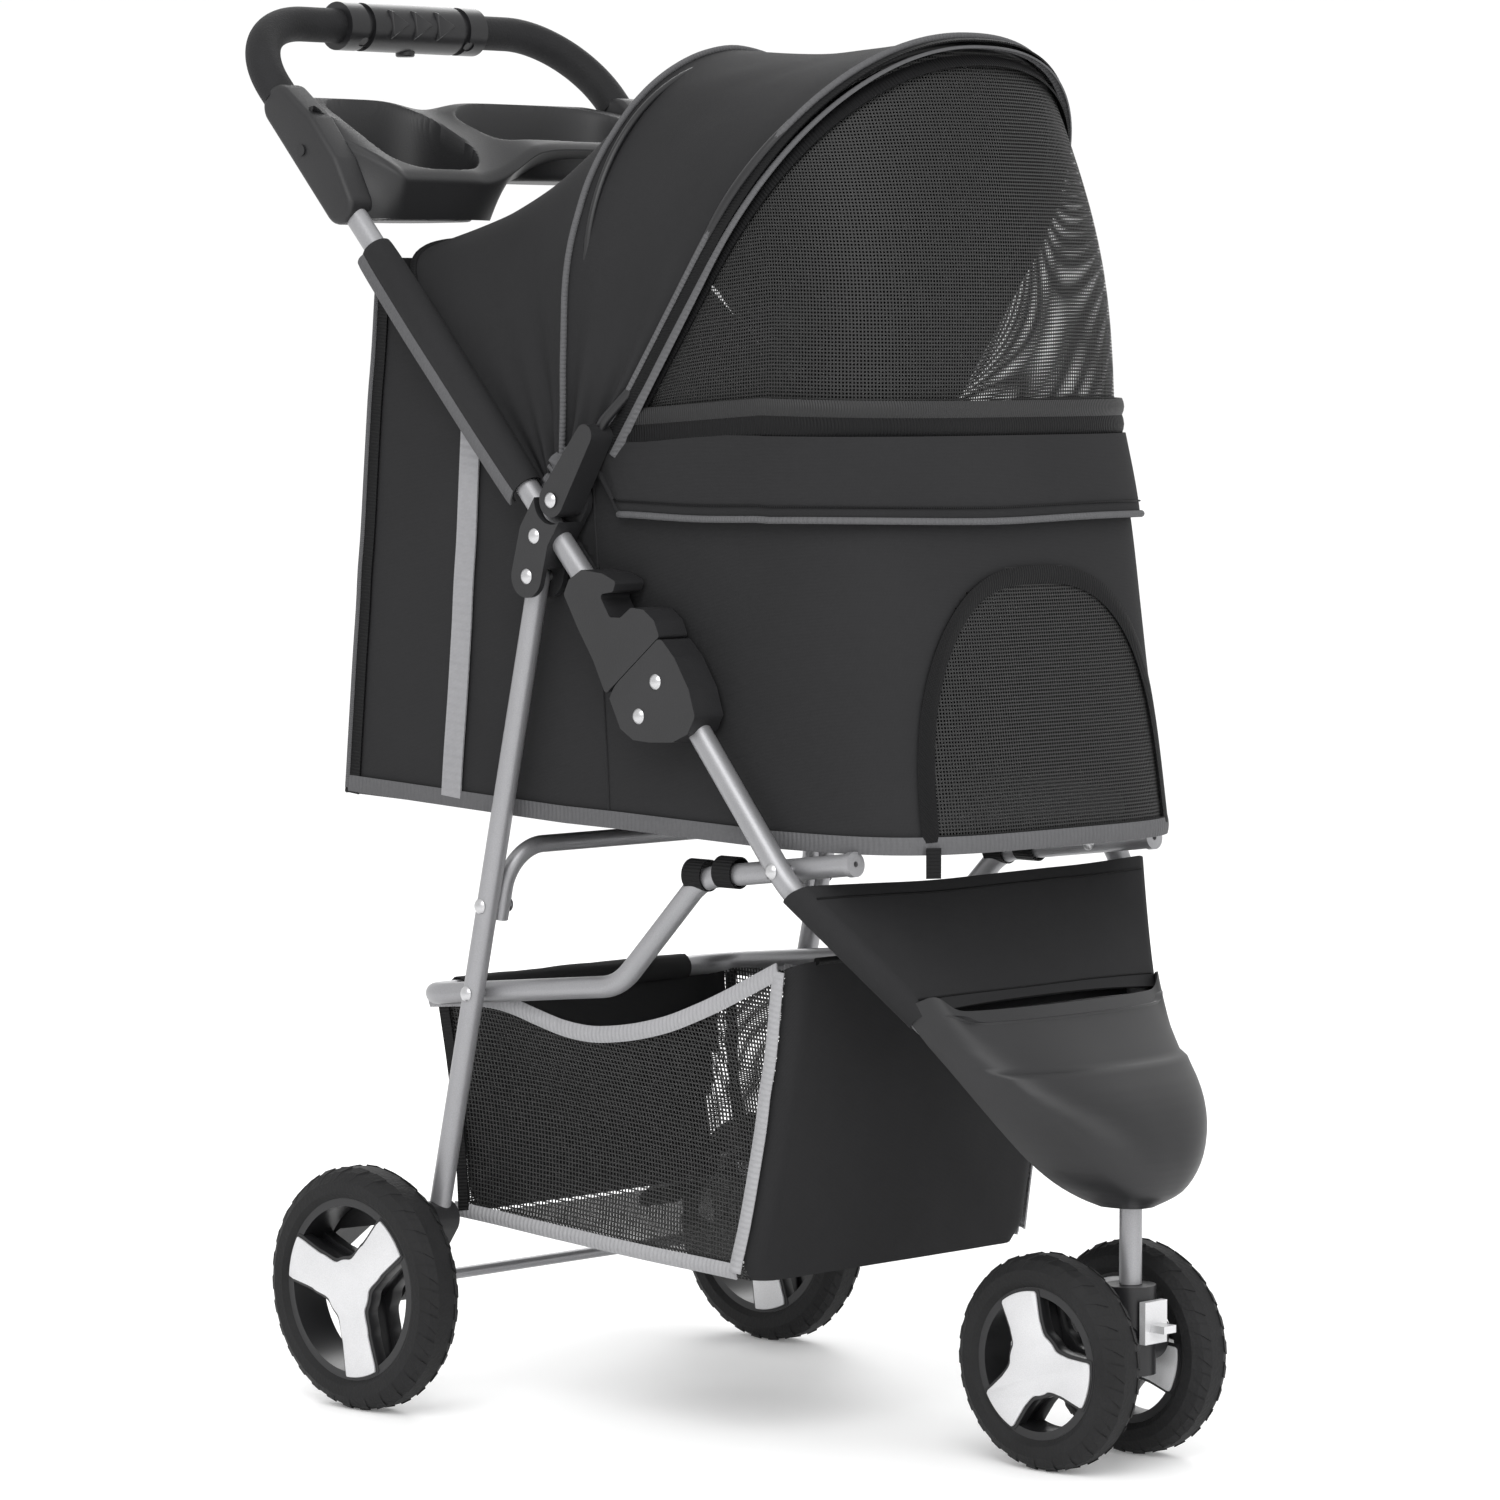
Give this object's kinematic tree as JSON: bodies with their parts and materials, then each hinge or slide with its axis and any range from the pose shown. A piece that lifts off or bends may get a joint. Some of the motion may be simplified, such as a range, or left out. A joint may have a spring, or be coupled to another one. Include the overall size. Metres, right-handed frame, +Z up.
{
  "type": "pet stroller",
  "caption": "Folding three-wheel pet stroller with a zipped fabric cabin, mesh window and door, arched canopy, parent tray, storage basket, swivelling front wheels and braked rear wheels.",
  "frame": {"origin": "on the ground, at the middle of the stroller's length and width", "axes": "+Z up, -Y towards the front wheels, +X towards the viewer's right when looking at the stroller's front; nodes named left are at -X"},
  "size_m": [0.442, 0.756, 0.9845],
  "materials": {
    "powder_coat": "satin",
    "moulded_plastic": "satin",
    "rivet_steel": "satin",
    "canvas": "matte",
    "mesh": "matte",
    "foam": "matte",
    "tyre_foam": "matte",
    "axle_steel": "satin",
    "board": "matte"
  },
  "bodies": {
    "front_frame": {"front_tube_left": "powder_coat", "front_tube_right": "powder_coat", "fork_cover": "moulded_plastic", "caster_stem": "powder_coat", "front_panel": "canvas", "latch_lower_left": "moulded_plastic", "latch_lower_right": "moulded_plastic", "latch_pins": "rivet_steel", "s_bar_rivets": "rivet_steel"},
    "handle_frame": {"handle_tube": "powder_coat", "foam_grip_left": "foam", "foam_grip_right": "foam", "grip_housing": "moulded_plastic", "handle_screws": "rivet_steel", "parent_tray": "moulded_plastic", "hinge_bracket_left": "moulded_plastic", "hinge_bracket_right": "moulded_plastic", "hinge_rivets": "rivet_steel", "latch_upper_left": "moulded_plastic", "latch_upper_right": "moulded_plastic", "rear_hoop": "axle_steel", "side_panel_left": "canvas", "side_panel_right": "canvas", "front_wall": "canvas", "lower_door": "mesh", "rear_door": "canvas", "floor_board": "board", "floor_cushion": "canvas", "canopy": "canvas", "window_mesh": "mesh", "front_flap": "canvas"},
    "canopy_hoop": {"front_hoop": "axle_steel", "hoop_socket_left": "moulded_plastic", "hoop_socket_right": "moulded_plastic"},
    "latch_slide_left": {"latch_slide_left": "moulded_plastic"},
    "latch_slide_right": {"latch_slide_right": "moulded_plastic"},
    "grip_button": {"grip_button": "moulded_plastic"},
    "rear_legs": {"rear_leg_left": "powder_coat", "rear_leg_right": "powder_coat", "leg_crossbar": "powder_coat", "leg_rivets": "rivet_steel", "axle_shoe_left": "moulded_plastic", "axle_shoe_right": "moulded_plastic", "rear_axle": "axle_steel"},
    "brake_left": {"brake_pedal_left": "moulded_plastic"},
    "brake_right": {"brake_pedal_right": "moulded_plastic"},
    "s_bar": {"s_bar": "powder_coat", "s_bar_caps": "moulded_plastic", "basket": "canvas"},
    "caster": {"caster_body": "moulded_plastic", "front_axle": "axle_steel"},
    "caster_lock": {"caster_lock": "moulded_plastic"},
    "rear_wheel_left": {"rear_tyre_left": "tyre_foam", "rear_rim_left": "moulded_plastic"},
    "rear_wheel_right": {"rear_tyre_right": "tyre_foam", "rear_rim_right": "moulded_plastic"},
    "front_wheel_left": {"front_tyre_left": "tyre_foam", "front_rim_left": "moulded_plastic"},
    "front_wheel_right": {"front_tyre_right": "tyre_foam", "front_rim_right": "moulded_plastic"}
  },
  "joints": [
    {"name": "fold", "type": "hinge", "parent": "front_frame", "child": "handle_frame", "pos_m": [0, -0.06222, 0.49123], "axis": [1, 0, 0], "range_deg": [-130, 0], "deforming": ["side_panel_left", "side_panel_right", "front_wall", "lower_door", "rear_door", "floor_board", "floor_cushion", "canopy", "window_mesh", "front_flap", "front_panel"]},
    {"name": "leg_fold", "type": "hinge", "parent": "handle_frame", "child": "rear_legs", "pos_m": [0, 0.04727, 0.5812], "axis": [1, 0, 0], "range_deg": [0, 89.76]},
    {"name": "seat_bar_fold", "type": "hinge", "parent": "front_frame", "child": "s_bar", "pos_m": [0, -0.17813, 0.39419], "axis": [1, 0, 0], "range_deg": [-74.71, 0], "deforming": ["basket"]},
    {"name": "canopy_fold", "type": "hinge", "parent": "handle_frame", "child": "canopy_hoop", "pos_m": [0, 0.02284, 0.63312], "axis": [1, 0, 0], "range_deg": [-26, 0], "deforming": ["canopy", "window_mesh", "front_flap"]},
    {"name": "latch_left", "type": "slide", "parent": "handle_frame", "child": "latch_slide_left", "axis": [0, 0.6794, 0.7337], "range_m": [0, 0.012], "stiffness_N_per_m": 250},
    {"name": "latch_right", "type": "slide", "parent": "handle_frame", "child": "latch_slide_right", "axis": [0, 0.6794, 0.7337], "range_m": [0, 0.012], "stiffness_N_per_m": 250},
    {"name": "grip_button_press", "type": "slide", "parent": "handle_frame", "child": "grip_button", "axis": [0, 0, 1], "range_m": [0, 0.004], "stiffness_N_per_m": 400},
    {"name": "brake_left", "type": "hinge", "parent": "rear_legs", "child": "brake_left", "pos_m": [-0.166, 0.198, 0.132], "axis": [1, 0, 0], "range_deg": [-20, 0]},
    {"name": "brake_right", "type": "hinge", "parent": "rear_legs", "child": "brake_right", "pos_m": [0.166, 0.198, 0.132], "axis": [1, 0, 0], "range_deg": [-20, 0]},
    {"name": "caster_swivel", "type": "hinge", "parent": "front_frame", "child": "caster", "pos_m": [0, -0.3396, 0.121], "axis": [0, 0, 1], "continuous": true},
    {"name": "caster_lock", "type": "slide", "parent": "caster", "child": "caster_lock", "axis": [0, 0, 1], "range_m": [0, 0.008]},
    {"name": "rear_wheel_left_spin", "type": "hinge", "parent": "rear_legs", "child": "rear_wheel_left", "pos_m": [-0.204, 0.185, 0.084], "axis": [1, 0, 0], "continuous": true},
    {"name": "rear_wheel_right_spin", "type": "hinge", "parent": "rear_legs", "child": "rear_wheel_right", "pos_m": [0.204, 0.185, 0.084], "axis": [1, 0, 0], "continuous": true},
    {"name": "front_wheel_left_spin", "type": "hinge", "parent": "caster", "child": "front_wheel_left", "pos_m": [-0.044, -0.307, 0.071], "axis": [1, 0, 0], "continuous": true},
    {"name": "front_wheel_right_spin", "type": "hinge", "parent": "caster", "child": "front_wheel_right", "pos_m": [0.044, -0.307, 0.071], "axis": [1, 0, 0], "continuous": true}
  ],
  "couplings": [
    {"joint": "leg_fold", "follows": "fold", "ratio": -0.69041},
    {"joint": "seat_bar_fold", "follows": "fold", "ratio": 0.57464}
  ]
}
